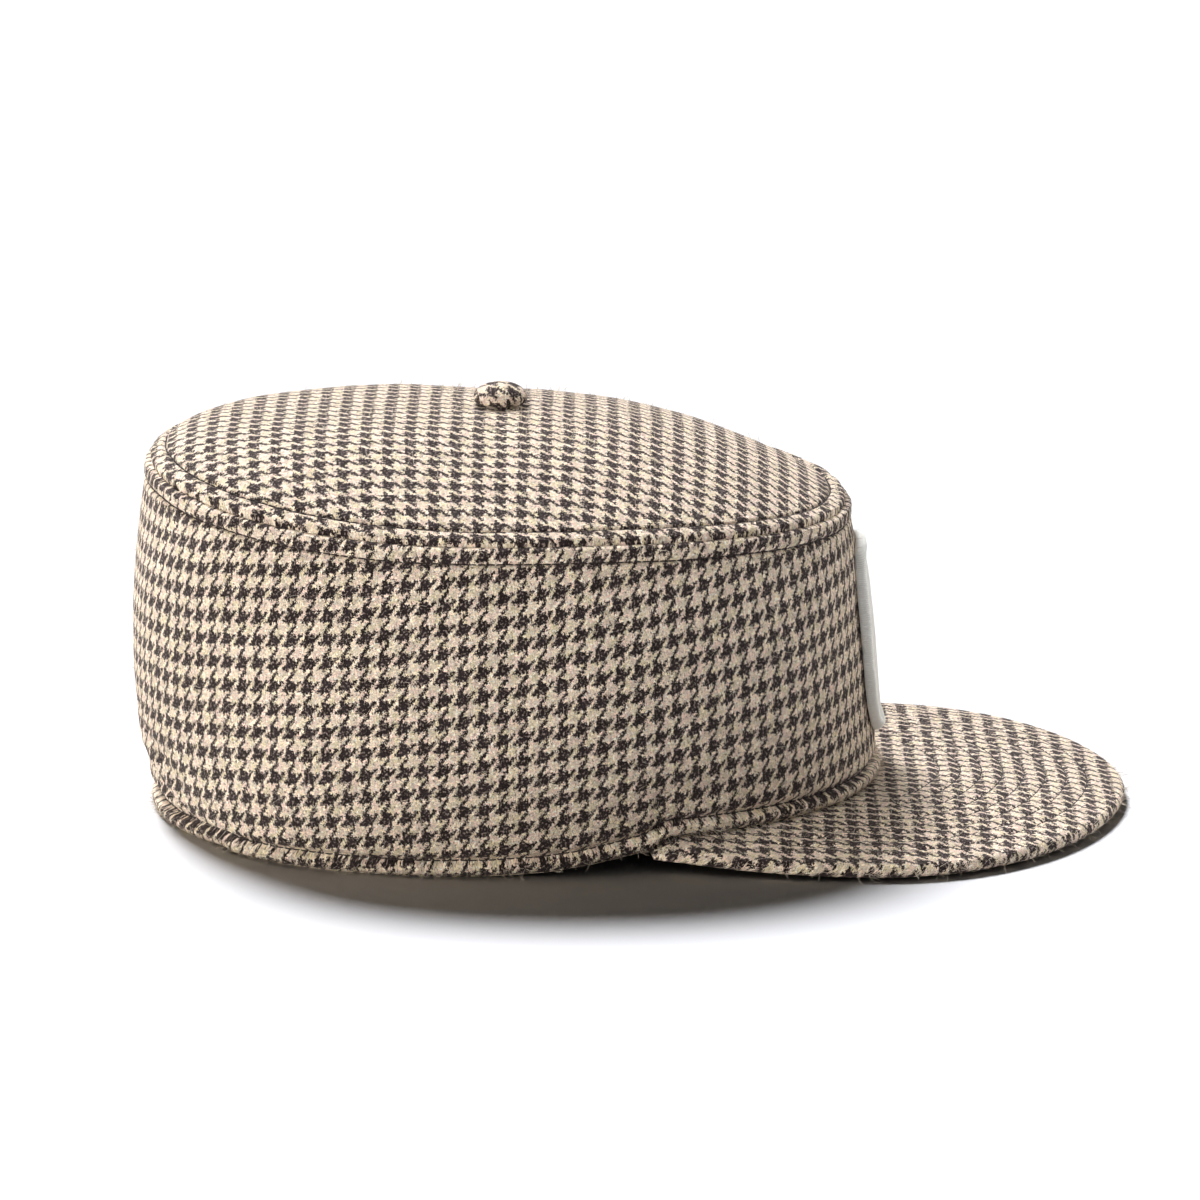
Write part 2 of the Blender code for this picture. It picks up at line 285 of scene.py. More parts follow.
def crease_depth(turn, height, points):
    here = unrolled(turn, height) + 1.3 * MM * wander(points, 14 * MM, 23.0)[..., None]
    depth = 0.0
    for row in CREASES:
        away, share = beside(here, row)
        depth = depth + row[5] * MM * bell(away, row[4] * MM) * np.sqrt(4 * share * (1 - share))
    return depth


def across_wall(turn):
    """Level direction straight out of the side."""
    small = 0.008
    ahead = oval(turn + small, CROWN_BACK, CROWN_FRONT, CROWN_HALF_WIDTH)
    behind = oval(turn - small, CROWN_BACK, CROWN_FRONT, CROWN_HALF_WIDTH)
    along = unit(ahead - behind)
    return stack(along[..., 1], -along[..., 0], 0.0 * turn)


def wall(turn, height):
    """Points on the plain outside of the side. height is 0 at the hem and 1 at the top seam."""
    back = CROWN_BACK * table_at(SIDE_SECTIONS, height, 1)
    front = CROWN_FRONT * table_at(SIDE_SECTIONS, height, 2)
    side = CROWN_HALF_WIDTH * table_at(SIDE_SECTIONS, height, 3)
    points = oval(turn, back, front, side)
    points = points - across_wall(turn) * fold_depth(turn, height)[..., None]
    points[..., 2] = hem_height(turn) + (seam_height(turn) - hem_height(turn)) * height
    return points


def dome(turn, reach):
    """Points on the plain outside of the top. reach is 0 under the button and 1 at the seam."""
    seam = wall(turn, np.ones_like(turn))
    front = np.cos(turn)
    end = np.where(front > 0, DOME_POWER_FRONT, DOME_POWER_BACK)
    power = DOME_POWER_SIDE + (end - DOME_POWER_SIDE) * front**2
    middle = np.array((AXIS_X, 0.0, TOP_HEIGHT))
    points = middle + (seam - middle) * reach[..., None]
    fall = DOME_BOWL * reach**2 + (1 - DOME_BOWL) * reach**power
    points[..., 2] = TOP_HEIGHT - (TOP_HEIGHT - seam[..., 2]) * fall
    return points


def outward(surface, turn, place):
    """Direction straight out of a surface of the crown."""
    small = 0.004
    round_it = surface(turn + small, place) - surface(turn - small, place)
    up_it = surface(turn, np.minimum(place + small, 1.0)) - surface(turn, np.maximum(place - small, 0.0))
    normal = unit(np.cross(round_it, up_it))
    middle = np.array((AXIS_X, 0.0, 0.0))
    side = np.sign((normal * (surface(turn, place) - middle)).sum(axis=-1, keepdims=True))
    return normal * side


def lengths(surface, turn):
    """Length of the cloth from place 0 to place 1 at each turn."""
    places = np.linspace(0.0, 1.0, 41)[:, None]
    across = turn[None, :] + 0.0 * places
    points = surface(across, places + 0.0 * across)
    return np.linalg.norm(np.diff(points, axis=0), axis=-1).sum(axis=0)


# Relief of the cloth


def line_wobble(turn, seed):
    """How far a hand-guided stitch line strays, in metres."""
    rim = wall(turn, np.ones_like(turn))
    return 0.22 * MM * wander(rim, 16 * MM, seed) + 0.10 * MM * wander(rim, 6 * MM, seed + 7)


def hem_line(turn):
    """Distance from the hem's edge to its stitch line."""
    return HEM_LINE + 0.6 * line_wobble(turn, HEM_SEED)


def seam_line(turn, seed):
    """Distance from the top seam to a stitch line beside it."""
    return TOP_LINE + line_wobble(turn, seed)


def seam_relief(turn, below, seed):
    """Height of the cloth over its plain form near the top seam. below is the distance from the seam."""
    line = seam_line(turn, seed)
    padding = 0.45 * MM * (1 - blend(line - 0.9 * MM, line + 0.5 * MM, below))
    groove = -0.80 * MM * bell(below - line, 0.50 * MM)
    lip = -1.70 * MM * bell(below, 0.60 * MM) + 0.32 * MM * bell(below - 1.7 * MM, 0.9 * MM)
    rim = wall(turn, np.ones_like(turn))
    pucker = wander(rim, 3.6 * MM, seed + 3) * (bell(below - line - 1.0 * MM, 1.8 * MM))
    gather = wander(rim, 4.4 * MM, seed + 5) * bell(below - 2.0 * MM, 2.0 * MM)
    return padding + groove + lip + 0.34 * MM * pucker + 0.32 * MM * gather


def side_relief(turn, height, points):
    long = lengths(wall, turn[0])[None, :]
    above = height * long
    line = hem_line(turn)
    groove = -2.20 * MM * bell(above - line, np.where(above > line, 1.5 * MM, 0.50 * MM))
    roll = 0.80 * MM * bell(above - 2.2 * MM, 1.4 * MM)
    rim = wall(turn, np.zeros_like(turn))
    pucker = 0.36 * MM * wander(rim, 4.5 * MM, 41.0) * bell(above - line - 1.5 * MM, 3.0 * MM)
    gather = 0.18 * MM * wander(rim, 3.2 * MM, 43.0) * bell(above - 2.0 * MM, 1.6 * MM)
    slack = 0.80 * MM * wander(points, 34 * MM, 3.0) + 0.26 * MM * wander(points, 13 * MM, 5.0)
    free = blend(0.0, SEAM_HOLD, above) * blend(0.0, SEAM_HOLD, long - above)
    slack = slack * free - crease_depth(turn, height, points) * blend(3 * MM, 6 * MM, above)
    return groove + roll + pucker + gather + slack + seam_relief(turn, long - above, SIDE_SEAM_SEED)


def top_relief(turn, reach, points):
    long = lengths(dome, turn[0])[None, :]
    below = (1 - reach) * long
    slack = 0.65 * MM * wander(points, 38 * MM, 13.0) + 0.24 * MM * wander(points, 13 * MM, 15.0)
    free = blend(0.0, SEAM_HOLD, below) * blend(8 * MM, 20 * MM, reach * long)
    tuck = -0.5 * MM * bell(reach * long - BUTTON_RADIUS, 3.0 * MM)
    return slack * free + tuck + seam_relief(turn, below, TOP_SEAM_SEED)


def side_skin(turn, height):
    """Points and outward directions on the finished side."""
    points = wall(turn, height)
    out = outward(wall, turn, height)
    return points + out * side_relief(turn, height, points)[..., None], out


def top_skin(turn, reach):
    """Points and outward directions on the finished top."""
    points = dome(turn, reach)
    out = outward(dome, turn, reach)
    out = np.where(reach[..., None] < 0.02, np.array((0.0, 0.0, 1.0)), out)
    return points + out * top_relief(turn, reach, points)[..., None], out


# Making meshes


def finish_mesh(name, mesh, material):
    bmesh.ops.recalc_face_normals(mesh, faces=mesh.faces)
    data = bpy.data.meshes.new(name)
    mesh.to_mesh(data)
    mesh.free()
    data.shade_smooth()
    data.materials.append(material)
    piece = bpy.data.objects.new(name, data)
    bpy.context.scene.collection.objects.link(piece)
    return piece


def loft(name, points, cloth, ends, material):
    """Closed skin over rings of points. cloth holds each point's place on the flat cloth, in checks.

    ends is loop where the last ring meets the first, poles where both are one point, and caps where
    both are filled.
    """
    rings, around = points.shape[:2]
    mesh = bmesh.new()
    row_of = mesh.verts.layers.int.new("row")
    place_of = mesh.verts.layers.int.new("place")
    ring = bmesh.ops.create_circle(mesh, segments=around, radius=1.0)["verts"]
    for index, vert in enumerate(ring):
        vert[place_of] = index
    edges = list(mesh.edges)
    if ends == "caps":
        bmesh.ops.edgeloop_fill(mesh, edges=edges)
    count = rings + 1 if ends == "loop" else rings
    for row in range(count):
        for vert in ring:
            vert.co = points[row % rings, vert[place_of]]
            vert[row_of] = row
        if row == count - 1:
            break
        grown = bmesh.ops.extrude_edge_only(mesh, edges=edges)["geom"]
        ring = [item for item in grown if isinstance(item, bmesh.types.BMVert)]
        on_ring = set(ring)
        edges = [item for item in grown if isinstance(item, bmesh.types.BMEdge)]
        edges = [edge for edge in edges if set(edge.verts) <= on_ring]
    if ends == "caps":
        bmesh.ops.edgeloop_fill(mesh, edges=edges)
    flat = mesh.loops.layers.uv.new("cloth")
    for face in mesh.faces:
        wraps = any(loop.vert[place_of] == around - 1 for loop in face.loops)
        for loop in face.loops:
            place = loop.vert[place_of]
            if wraps and place == 0:
                place = around
            loop[flat].uv = cloth[loop.vert[row_of] % rings, place]
    bmesh.ops.remove_doubles(mesh, verts=mesh.verts, dist=1e-7)
    return finish_mesh(name, mesh, material)


def closed_turns(count):
    return np.arange(count) * math.tau / count


def wrapped(values):
    """Adds the first column again at the end of each row."""
    return np.concatenate((values, values[:, :1]), axis=1)


def check_places_round(turn):
    """Number of checks from the front, round the left, to each turn. A whole number go round."""
    fine = np.linspace(0.0, math.tau, 2881)
    travelled = distance_along(wall(fine, np.full_like(fine, CHECK_LEVEL)))
    checks = round(travelled[-1] / CHECK_ROUND)
    return np.interp(turn, fine, travelled) * checks / travelled[-1]


def side_cloth(turn, heights):
    """Places on the flat cloth of the side. Its rows of checks climb from back to front."""
    turns = np.concatenate((turn, [math.tau]))
    around = check_places_round(turns)
    share = np.abs(turns / math.tau - 0.5) * 2
    climb = CHECK_CLIMB / 2 * (1 - np.cos(math.pi * share))
    up = (wrapped(heights) - climb[None, :]) / CHECK_UP
    return stack(around[None, :] + 0.0 * up, up)


def side_piece(material):
    turn = closed_turns(SEGMENTS)
    long = lengths(wall, turn)
    low = graded(FINE_BAND, [HEM_LINE], FINE_STEP, 0.75 * MM, 3 * MM)
    high = graded(FINE_BAND, [0.0, TOP_LINE], FINE_STEP, 0.8 * MM, 3 * MM)
    low_rows = [distance / long for distance in low]
    high_rows = [1 - distance / long for distance in high[::-1]]
    middle = np.linspace(0.0, 1.0, 33)[1:-1]
    middle_rows = [low_rows[-1] + (high_rows[0] - low_rows[-1]) * share for share in middle]
    heights = np.array(low_rows + middle_rows + high_rows)
    turns = turn[None, :] + 0.0 * heights
    outer = side_skin(turns, heights)[0]
    # The upper edge turns in at the seam, which stays open a little
    tuck = -across_wall(turns[-1])
    outer[-1] -= [0, 0, SEWN_GAP / 2]
    lip = [outer[-1] + tuck * 0.6 * MM - [0, 0, 0.05 * MM], outer[-1] + tuck * 1.2 * MM - [0, 0, 0.6 * MM]]
    inner_shares = np.linspace(0.95, 0.06, 13)
    inner_heights = inner_shares[:, None] + 0.0 * turn[None, :]
    inner_turns = turn[None, :] + 0.0 * inner_heights
    inner_points = wall(inner_turns, inner_heights)
    inner = inner_points - outward(wall, inner_turns, inner_heights) * CLOTH
    # The hem is a rolled edge: a half round under the wall
    level_out = across_wall(turns[0])
    thick = CLOTH + 0.2 * MM
    hem = []
    for angle in np.linspace(180.0, 0.0, 9)[:-1]:
        side = math.cos(math.radians(angle)) * thick / 2
        drop = HEM_ROLL * (1 - math.sin(math.radians(angle)) ** 0.7)
        point = wall(turns[0], heights[0]) + level_out * (side - thick / 2)
        hem.append(point + [0, 0, drop])
    outer[0] = wall(turns[0], heights[0]) + [0, 0, HEM_ROLL]
    points = np.concatenate((outer, lip, inner, hem))
    climbed = distance_along(wall(turns, heights)) + hem_height(turn)[None, :]
    top = climbed[-1:]
    lip_heights = np.concatenate((top + 0.4 * MM, top + 1.8 * MM))
    inner_up = top + 2.5 * MM + (1 - inner_shares)[:, None] * long[None, :]
    hem_up = climbed[:1] - np.linspace(4.2 * MM, 0.4 * MM, len(hem))[:, None]
    cloth = side_cloth(turn, np.concatenate((climbed, lip_heights, inner_up, hem_up)))
    return loft("side_cloth", points, cloth, "loop", material)


def top_piece(material):
    turn = closed_turns(SEGMENTS)
    long = lengths(dome, turn)
    high = graded(FINE_BAND, [0.0, TOP_LINE], FINE_STEP, 0.8 * MM, 3 * MM)
    high_rows = [1 - distance / long for distance in high[::-1]]
    middle_rows = [high_rows[0] * share for share in np.linspace(0.0, 1.0, 37)[:-1]]
    reaches = np.array(middle_rows + high_rows)
    turns = turn[None, :] + 0.0 * reaches
    outer = top_skin(turns, reaches)[0]
    outer[0] = outer[0].mean(axis=0)
    tuck = -across_wall(turns[-1])
    outer[-1] += [0, 0, SEWN_GAP]
    lip = [outer[-1] + tuck * 0.6 * MM + [0, 0, 0.05 * MM], outer[-1] + tuck * 1.3 * MM - [0, 0, 0.1 * MM]]
    inner_shares = np.array((0.94, 0.85, 0.74, 0.62, 0.48, 0.33, 0.17, 0.0))
    inner_reaches = inner_shares[:, None] + 0.0 * turn[None, :]
    inner_turns = turn[None, :] + 0.0 * inner_reaches
    inner_points = dome(inner_turns, inner_reaches)
    drop = outward(dome, inner_turns, inner_reaches)
    drop = np.where(inner_reaches[..., None] < 0.02, np.array((0.0, 0.0, 1.0)), drop)
    inner = inner_points - drop * CLOTH
    points = np.concatenate((outer, lip, inner))
    # The flat cloth is laid out from the middle, along each spoke
    spoke = distance_along(dome(turns, reaches))
    spoke = np.concatenate((spoke, spoke[-1:] + 0.5 * MM, spoke[-1:] + 2 * MM, inner_reaches * long[None, :]))
    rim = wall(turn, np.ones_like(turn)) - np.array((AXIS_X, 0.0, 0.0))
    aim = unit(rim[:, :2])
    flat = spoke[..., None] * aim[None, :, :]
    cloth = stack(-flat[..., 1] / CHECK_ROUND + 0.3, flat[..., 0] / CHECK_TOP + 0.15)
    return loft("top_cloth", points, wrapped(cloth), "poles", material)


# Peak


def peak_outline(share, corner):
    """Underside of the peak's edge on one side. share runs from 0 at the corner to 1 at the tip."""
    widest = PEAK_TIP_X - PEAK_NOSE
    side_length = widest - corner[0]
    nose_length = (PEAK_NOSE + PEAK_HALF_WIDTH) * math.pi / 4
    side_share = side_length / (side_length + nose_length)
    back = 1 - share / side_share
    side_across = PEAK_HALF_WIDTH + (corner[1] - PEAK_HALF_WIDTH) * back**2
    side_lift = PEAK_LIFT + (PEAK_CORNER_LIFT - PEAK_LIFT) * back**2
    angle = np.clip((1 - (share - side_share) / (1 - side_share)) * math.pi / 2, 0.0, math.pi / 2)
    nose_across = PEAK_HALF_WIDTH * np.sin(angle) ** PEAK_POINT
    nose_lift = PEAK_LIFT + (PEAK_TIP_LIFT - PEAK_LIFT) * np.cos(angle) ** 2
    on_side = share < side_share
    along = np.where(on_side, widest - side_length * back, widest + PEAK_NOSE * np.cos(angle))
    across = np.where(on_side, side_across, nose_across)
    return stack(along, across, np.where(on_side, side_lift, nose_lift))


PEAK_COLUMNS = 281
PEAK_ROWS_TOP = 176
PEAK_ROWS_NOSE = 14
PEAK_ROWS_UNDER = 60


def peak_columns():
    """Root, edge and thickness of the peak at each of its columns, from the right corner to the left."""
    share = np.linspace(-1.0, 1.0, PEAK_COLUMNS)
    turn = share * PEAK_CORNER_TURN
    corner_turn = np.array((PEAK_CORNER_TURN,))
    corner = wall(corner_turn, np.zeros(1)) + across_wall(corner_turn) * PEAK_CORNER_STEP
    root = wall(turn, np.zeros_like(turn)) - across_wall(turn) * CLOTH
    root[:, 2] = hem_height(turn) - SEWN_GAP
    edge = peak_outline(1 - np.abs(share), corner[0])
    edge[:, 1] *= np.where(share < 0, -1.0, 1.0)
    slim = blend(1 - PEAK_CORNER_REACH, 1.0, np.abs(share))
    thick = PEAK_THICKNESS + (PEAK_CORNER_THICKNESS - PEAK_THICKNESS) * slim
    edge[:, 2] += thick
    return root, edge, thick


def peak_upper(root, edge, thick, share):
    """Points of the upper face. share is 0 at the crown and 1 where the edge turns down."""
    inset = unit(edge - root) * thick[:, None] / 2
    points = root[:, None] + (edge - inset - root)[:, None] * share[None, :, None]
    full = np.linalg.norm(edge - root, axis=-1) / (PEAK_LENGTH + CLOTH)
    points[..., 2] += PEAK_BOW * full[:, None] * 4 * share * (1 - share)
    return points, inset


def edge_distance(points, edge):
    """Level distance from each point to the peak's outer edge."""
    fine = np.linspace(0.0, len(edge) - 1.0, len(edge) * 3)
    index = np.arange(len(edge))
    line = np.stack([np.interp(fine, index, edge[:, axis]) for axis in (0, 1)], axis=-1)
    away = [np.linalg.norm(row[:, None, :2] - line[None], axis=-1).min(axis=1) for row in points]
    return np.array(away)


def peak_relief(points, away):
    """Stitched channels that follow the peak's edge."""
    strayed = away + 0.25 * MM * wander(points, 22 * MM, 51.0)
    phase = (strayed - PEAK_FIRST_LINE) / PEAK_LINE_PITCH
    nearest = np.clip(np.round(phase), 0, PEAK_LINES - 1)
    groove = -0.38 * MM * bell((phase - nearest) * PEAK_LINE_PITCH, 0.45 * MM)
    quilted = blend(-1.2, 0.0, phase) * (1 - blend(PEAK_LINES - 1.0, PEAK_LINES + 0.2, phase))
    swell = 0.22 * MM * quilted * (0.5 - 0.5 * np.cos(math.tau * phase))
    slack = 0.08 * MM * wander(points, 9 * MM, 53.0) + 0.26 * MM * wander(points, 30 * MM, 55.0)
    return groove + swell + slack * blend(0.0, 6 * MM, away), strayed


def peak_piece(material):
    root, edge, thick = peak_columns()
    share = np.linspace(0.0, 1.0, PEAK_ROWS_TOP)
    upper, inset = peak_upper(root, edge, thick, share)
    away = edge_distance(upper, edge)
    rise, strayed = peak_relief(upper, away)
    settle = blend(0.0, 0.03, share)[None, :]
    top = upper.copy()
    top[..., 2] += rise * settle
    angles = math.pi * np.arange(1, PEAK_ROWS_NOSE) / PEAK_ROWS_NOSE
    nose = []
    bulge = 1 + 0.03 * wander(edge, 7 * MM, 57.0)
    for angle in angles:
        drop = thick / 2 * (1 - math.cos(angle))
        point = upper[:, -1] + inset * (math.sin(angle) * bulge)[:, None]
        point = point - stack(0 * drop, 0 * drop, drop)
        nose.append(point)
    nose = np.stack(nose, axis=1)
    under_share = np.linspace(1.0, 0.0, PEAK_ROWS_UNDER)
    under = peak_upper(root, edge, thick, under_share)[0]
    under[..., 2] -= thick[:, None]
    under_away = edge_distance(under, edge)
    under_rise = peak_relief(under, under_away)[0]
    under[..., 2] -= under_rise * blend(0.0, 0.03, under_share)[None, :] * 0.6
    points = np.concatenate((top, nose, under), axis=1)
    # Along each column the cloth runs out over the edge and back under it
    aim = unit((edge - root)[:, :2])
    steps = np.linalg.norm(np.diff(np.concatenate((upper, nose), axis=1), axis=1), axis=-1)
    run = np.concatenate((np.zeros((PEAK_COLUMNS, 1)), np.cumsum(steps, axis=1)), axis=1)
    back = run[:, -1:] - np.linalg.norm(under - under[:, :1], axis=-1)
    run = np.concatenate((run, back), axis=1)
    flat = root[:, None, :2] + aim[:, None] * run[..., None]
    cloth = stack(-flat[..., 1] / CHECK_ROUND + 0.55, flat[..., 0] / CHECK_PEAK + 0.35)
    return loft("peak_cloth", points, wrapped(cloth), "caps", material), (root, edge, thick, top, strayed)


# Button


# The button's cover, from its middle to its underside: reach is a share of the radius, rise of the
# height.
#                  reach  rise
BUTTON_SECTIONS = ((0.00, 1.000),
                   (0.20, 0.990),
                   (0.40, 0.955),
                   (0.60, 0.880),
                   (0.76, 0.775),
                   (0.88, 0.640),
                   (0.96, 0.490),
                   (1.00, 0.330),
                   (0.985, 0.190),
                   (0.93, 0.080),
                   (0.84, 0.020),
                   (0.60, 0.000),
                   (0.00, 0.000))
BUTTON_SEGMENTS = 180
BUTTON_PLEATS = 15


def button_piece(material):
    turn = closed_turns(BUTTON_SEGMENTS)
    fine = np.linspace(0.0, len(BUTTON_SECTIONS) - 1.0, 73)
    sections = [(number, reach, rise) for number, (reach, rise) in enumerate(BUTTON_SECTIONS)]
    reach = np.clip(table_at(sections, fine, 1), 0.0, 1.01)
    rise = table_at(sections, fine, 2)
    pleat = 0.020 * np.cos(BUTTON_PLEATS * turn + 1.5 * np.sin(3 * turn))
    under = 1 - blend(0.05, 0.50, rise)
    radius = BUTTON_RADIUS * (reach[:, None] * (1 + pleat[None, :] * under[:, None]))
    height = button_low.z + rise[:, None] * BUTTON_HEIGHT
    points = stack(AXIS_X + radius * np.cos(turn), radius * np.sin(turn), height + 0 * radius)
    lumps = 0.10 * MM * wander(points, 4 * MM, 61.0)
    aim = unit(points - np.array((AXIS_X, 0.0, button_low.z - 4 * MM)))
    points = points + aim * lumps[..., None]
    points[0] = points[0].mean(axis=0)
    points[-1] = points[-1].mean(axis=0)
    spoke = distance_along(stack(reach * BUTTON_RADIUS, rise * BUTTON_HEIGHT))
    flat = spoke[:, None, None] * stack(np.cos(turn), np.sin(turn))[None]
    cloth = stack(-flat[..., 1] / CHECK_ROUND + 0.27, flat[..., 0] / CHECK_TOP + 0.62)
    return loft("covered_button", points, wrapped(cloth), "poles", material)


# Patch


def patch_outline(angle):
    """Outline of the patch on flat cloth, as distances across and up from its middle."""

    def rounded(value):
        return np.sign(value) * np.abs(value) ** (2 / PATCH_SQUARENESS)

    across = rounded(np.cos(angle)) * PATCH_WIDTH / 2
    up = rounded(np.sin(angle)) * PATCH_HEIGHT / 2
    return across, up


def on_front(across, up, proud):
    """Points over the front of the side at this distance from it."""
    turn = across / (CROWN_HALF_WIDTH * (1 + 4 * FULLNESS))
    height = (PATCH_MIDDLE + up - HEM_RISE) / (SEAM_HEIGHT_FRONT - HEM_RISE)
    return wall(turn, height) + outward(wall, turn, height) * np.asarray(proud)[..., None]


def even_outline(count):
    """Outline of the patch at even steps along it, across and up, and its length."""
    angle = np.linspace(0.0, math.tau, 4001)
    across, up = patch_outline(angle)
    travelled = distance_along(stack(across, up))
    places = np.arange(count) * travelled[-1] / count
    return np.interp(places, travelled, across), np.interp(places, travelled, up), travelled[-1]


def felt_piece(material):
    rows = []
    reaches = list(np.linspace(0.0, 0.94, 34)) + [0.955, 0.965, 0.965, 0.94, 0.6, 0.0]
    levels = [1.0] * 34 + [0.94, 0.7, 0.1, 0.0, 0.0, 0.0]
    across, up = even_outline(256)[:2]
    for reach, level in zip(reaches, levels):
        proud = SEWN_GAP + level * FELT_THICKNESS
        rows.append(on_front(reach * across, reach * up, proud + 0 * across))
    points = np.array(rows)
    face = np.array(levels)[:, None]
    lumps = 0.10 * MM * wander(points, 6 * MM, 71.0) + 0.05 * MM * wander(points, 1.6 * MM, 73.0)
    points[..., 0] += lumps * (face > 0.5)
    flat = np.array(reaches)[:, None, None] * stack(across, up)[None]
    return loft("felt_patch", points, wrapped(flat / CHECK_ROUND), "poles", material)


def satin_piece(material):
    """Satin stitch round the patch: a plump cord of threads laid side by side across its edge."""
    threads = round(even_outline(100)[2] / SATIN_THREAD)
    around = 4 * threads
    across, up = even_outline(around)[:2]
    aim = unit(stack(np.roll(up, -1) - np.roll(up, 1), np.roll(across, 1) - np.roll(across, -1)))
    thread = np.arange(around) / 4
    ridge = 0.20 * MM * np.abs(np.sin(math.pi * thread))
    uneven = 0.05 * MM * np.sin(thread.astype(int) * 12.9898) + 0.10 * MM * np.sin(thread.astype(int) * 0.171)
    rows = []
    angles = np.radians((-25.0, 0.0, 18.0, 36.0, 54.0, 72.0, 90.0, 108.0, 126.0, 144.0, 162.0, 180.0, 205.0))
    for angle in angles:
        swell = ridge + uneven * max(math.sin(angle), 0.0)
        side = math.cos(angle) * (SATIN_WIDTH / 2 + swell * 0.6) - SATIN_WIDTH / 2
        proud = SEWN_GAP + np.maximum(math.sin(angle), -0.05) * (SATIN_PROUD - SEWN_GAP + swell)
        slant = math.sin(2 * angle) * 0.04 * MM
        rows.append(on_front(across + aim[:, 0] * side - aim[:, 1] * slant,
                             up + aim[:, 1] * side + aim[:, 0] * slant, proud))
    points = np.array(rows)
    flat = stack(np.broadcast_to(thread / 4, points.shape[:2]), np.linspace(0, 1, len(angles))[:, None])
    closing = flat[:, :1].copy()
    closing[..., 0] = threads / 4
    return loft("satin_edge", points, np.concatenate((flat, closing), axis=1), "loop", material)


# Threads and fibres


def strands(name, lines, thickness, sides, material):
    """Closed thin strands as one mesh. Each line is a list of points with a share of the thickness."""
    curve = bpy.data.curves.new(name, "CURVE")
    curve.dimensions = "3D"
    curve.bevel_depth = thickness / 2
    curve.bevel_resolution = sides // 2 - 2
    curve.use_fill_caps = True
    curve.twist_mode = "Z_UP"
    for line in lines:
        spline = curve.splines.new("POLY")
        spline.points.add(len(line) - 1)
        flat = []
        for x, y, z, share in line:
            flat += (x, y, z, 1.0)
        spline.points.foreach_set("co", flat)
        spline.points.foreach_set("radius", [point[3] for point in line])
    drawn = bpy.data.objects.new(name + "_lines", curve)
    bpy.context.scene.collection.objects.link(drawn)
    data = bpy.data.meshes.new_from_object(drawn.evaluated_get(bpy.context.evaluated_depsgraph_get()))
    bpy.data.objects.remove(drawn)
    bpy.data.curves.remove(curve)
    mesh = bmesh.new()
    mesh.from_mesh(data)
    bpy.data.meshes.remove(data)
    bmesh.ops.remove_doubles(mesh, verts=mesh.verts, dist=1e-7)
    return finish_mesh(name, mesh, material)


# Shape of one stitch: share of its length, lift over the cloth in thread widths, thickness
STITCH_SHAPE = ((0.00, -0.75, 0.55),
                (0.10, 0.00, 0.85),
                (0.30, 0.42, 1.00),
                (0.70, 0.42, 1.00),
                (0.90, 0.00, 0.85),
                (1.00, -0.75, 0.55))


def sew(points, out, closed, size=1.0):
    """Stitches along a line of points on the cloth. size is a share of the thread's thickness."""
    if closed:
        points = np.concatenate((points, points[:1]))
        out = np.concatenate((out, out[:1]))
    travelled = distance_along(points)
    count = max(int(travelled[-1] / STITCH_PITCH), 1)
    pitch = travelled[-1] / count
    lines = []
    for number in range(count):
        start = number * pitch + 0.04 * pitch
        line = []
        for share, lift, thick in STITCH_SHAPE:
            place = start + share * 0.92 * pitch
            x, y, z = (np.interp(place, travelled, points[:, axis]) for axis in range(3))
            a, b, c = (np.interp(place, travelled, out[:, axis]) for axis in range(3))
            rise = lift * THREAD * size
            line.append((x + a * rise, y + b * rise, z + c * rise, thick * size))
        lines.append(line)
    return lines


def stitch_piece(material, peak_parts):
    turn = closed_turns(STITCH_PLACES)
    one_row = turn[None, :]
    lines = []
    long = lengths(wall, turn)
    above = hem_line(one_row)[0]
    points, out = side_skin(one_row, (above / long)[None, :])
    lines += sew(points[0] + out[0] * 0.10 * MM, out[0], True)
    below = seam_line(one_row, SIDE_SEAM_SEED)[0]
    points, out = side_skin(one_row, (1 - below / long)[None, :])
    lines += sew(points[0] + out[0] * 0.14 * MM, out[0], True)
    long = lengths(dome, turn)
    below = seam_line(one_row, TOP_SEAM_SEED)[0]
    points, out = top_skin(one_row, (1 - below / long)[None, :])
    lines += sew(points[0] + out[0] * 0.14 * MM, out[0], True)
    top, strayed = peak_parts[3:]
    for number in range(PEAK_LINES):
        lines += peak_row(top, strayed, PEAK_FIRST_LINE + number * PEAK_LINE_PITCH)
    return strands("stitching", lines, THREAD, 6, material)


def peak_row(top, strayed, distance):
    """Stitches of one row on the peak, where its distance from the edge is crossed."""
    points = []
    lines = []
    for column in range(2, len(top) - 2):
        away = strayed[column]
        crossed = np.nonzero((away[:-1] >= distance) & (away[1:] < distance))[0]
        if len(crossed) and crossed[-1] > 6:
            place = crossed[-1]
            share = (away[place] - distance) / (away[place] - away[place + 1])
            points.append(top[column, place] * (1 - share) + top[column, place + 1] * share)
        elif points:
            lines += sew_up(points)
            points = []
    return lines + sew_up(points)


def sew_up(points):
    if len(points) < 4:
        return []
    points = np.array(points)
    return sew(points, np.tile((0.0, 0.0, 1.0), (len(points), 1)), False, 0.75)


FIBRES = 5200
FIBRE_THICKNESS = 0.12 * MM
FIBRE_LENGTH = 3.6 * MM  # of the longest


